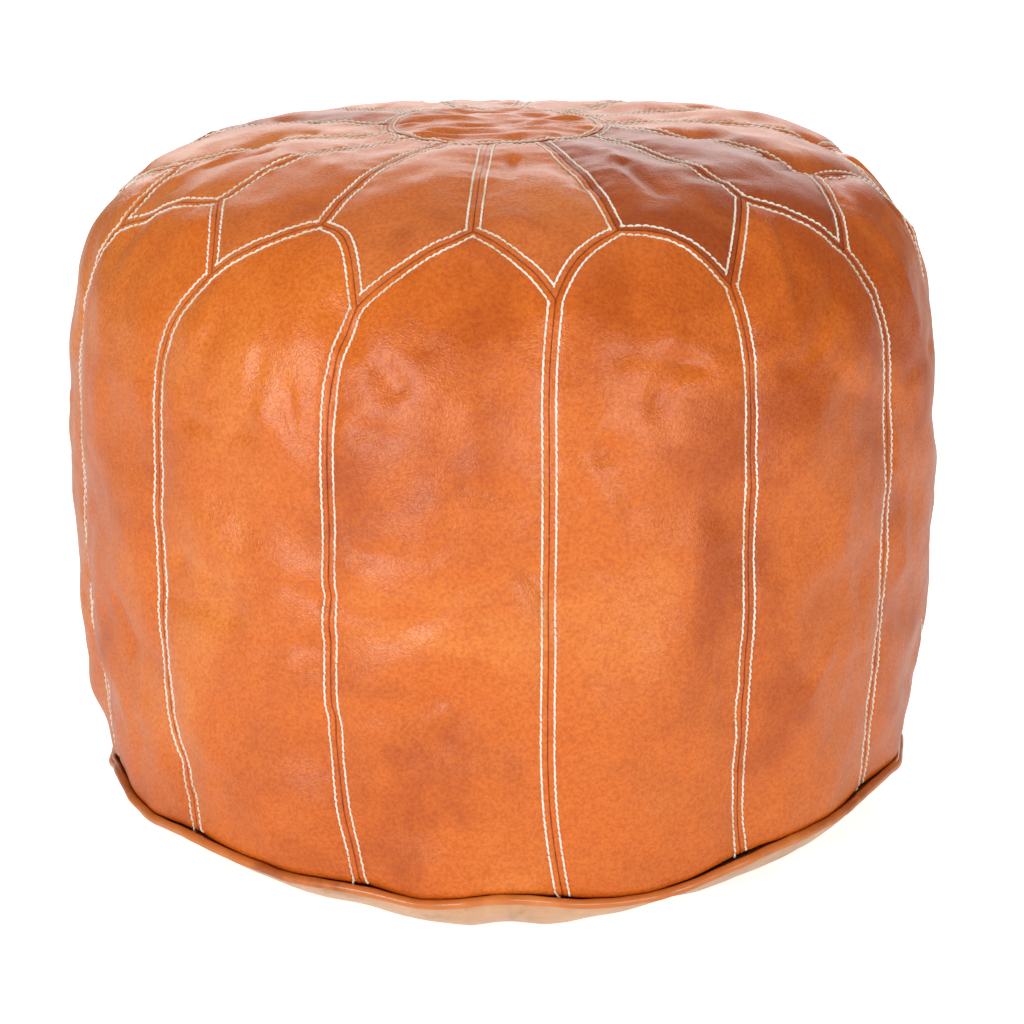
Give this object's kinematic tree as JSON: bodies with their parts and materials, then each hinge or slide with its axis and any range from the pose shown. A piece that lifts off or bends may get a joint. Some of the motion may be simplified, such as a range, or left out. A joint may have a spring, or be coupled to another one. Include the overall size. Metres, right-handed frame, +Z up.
{
  "type": "stuffed leather pouf",
  "caption": "Round low seat: a stuffed leather cover of tall arched side panels and pointed crown wedges round a top disc, with a zip in its base.",
  "frame": {"origin": "on the floor under the middle of the pouf", "axes": "+Z up, -Y towards the front, +X to the right seen from the front"},
  "size_m": [0.5, 0.5, 0.3913],
  "materials": {
    "panel_leather": "glossy aniline-dyed, orange tan",
    "crown_leather": "glossy aniline-dyed, slightly darker orange tan",
    "welt_leather": "semi-gloss",
    "split_leather": "matt suede, beige",
    "cotton_cord": "twisted cotton",
    "zip_tape": "woven",
    "zip_metal": "satin",
    "wadding": "packed cotton wadding"
  },
  "bodies": {
    "cover": {"side_panel_01": "panel_leather", "side_panel_02": "panel_leather", "side_panel_03": "panel_leather", "side_panel_04": "panel_leather", "side_panel_05": "panel_leather", "side_panel_06": "panel_leather", "side_panel_07": "panel_leather", "side_panel_08": "panel_leather", "side_panel_09": "panel_leather", "side_panel_10": "panel_leather", "side_panel_11": "panel_leather", "side_panel_12": "panel_leather", "side_panel_13": "panel_leather", "side_panel_14": "panel_leather", "crown_wedge_01": "crown_leather", "crown_wedge_02": "crown_leather", "crown_wedge_03": "crown_leather", "crown_wedge_04": "crown_leather", "crown_wedge_05": "crown_leather", "crown_wedge_06": "crown_leather", "crown_wedge_07": "crown_leather", "crown_wedge_08": "crown_leather", "crown_wedge_09": "crown_leather", "crown_wedge_10": "crown_leather", "crown_wedge_11": "crown_leather", "crown_wedge_12": "crown_leather", "crown_wedge_13": "crown_leather", "crown_wedge_14": "crown_leather", "top_disc": "crown_leather", "welt_cover": "welt_leather", "welt_cord": "cotton_cord", "base_half_left": "split_leather", "base_half_right": "split_leather", "zip_tape_left": "zip_tape", "zip_tape_right": "zip_tape", "zip_teeth_left": "zip_metal", "zip_teeth_right": "zip_metal", "zip_top_stops": "zip_metal", "zip_bottom_stop": "zip_metal", "filling": "wadding"},
    "slider": {"zip_slider": "zip_metal"},
    "pull": {"zip_pull": "zip_metal"}
  },
  "joints": [
    {"name": "zip_slide", "type": "slide", "parent": "cover", "child": "slider", "axis": [0.6428, -0.766, 0], "range_m": [0, 0.36], "deforming": ["zip_teeth_left", "zip_teeth_right"]},
    {"name": "pull_hinge", "type": "hinge", "parent": "slider", "child": "pull", "pos_m": [-0.1157, 0.13789, 0.0073], "axis": [0.766, 0.6428, 0], "range_deg": [0, 150]}
  ]
}
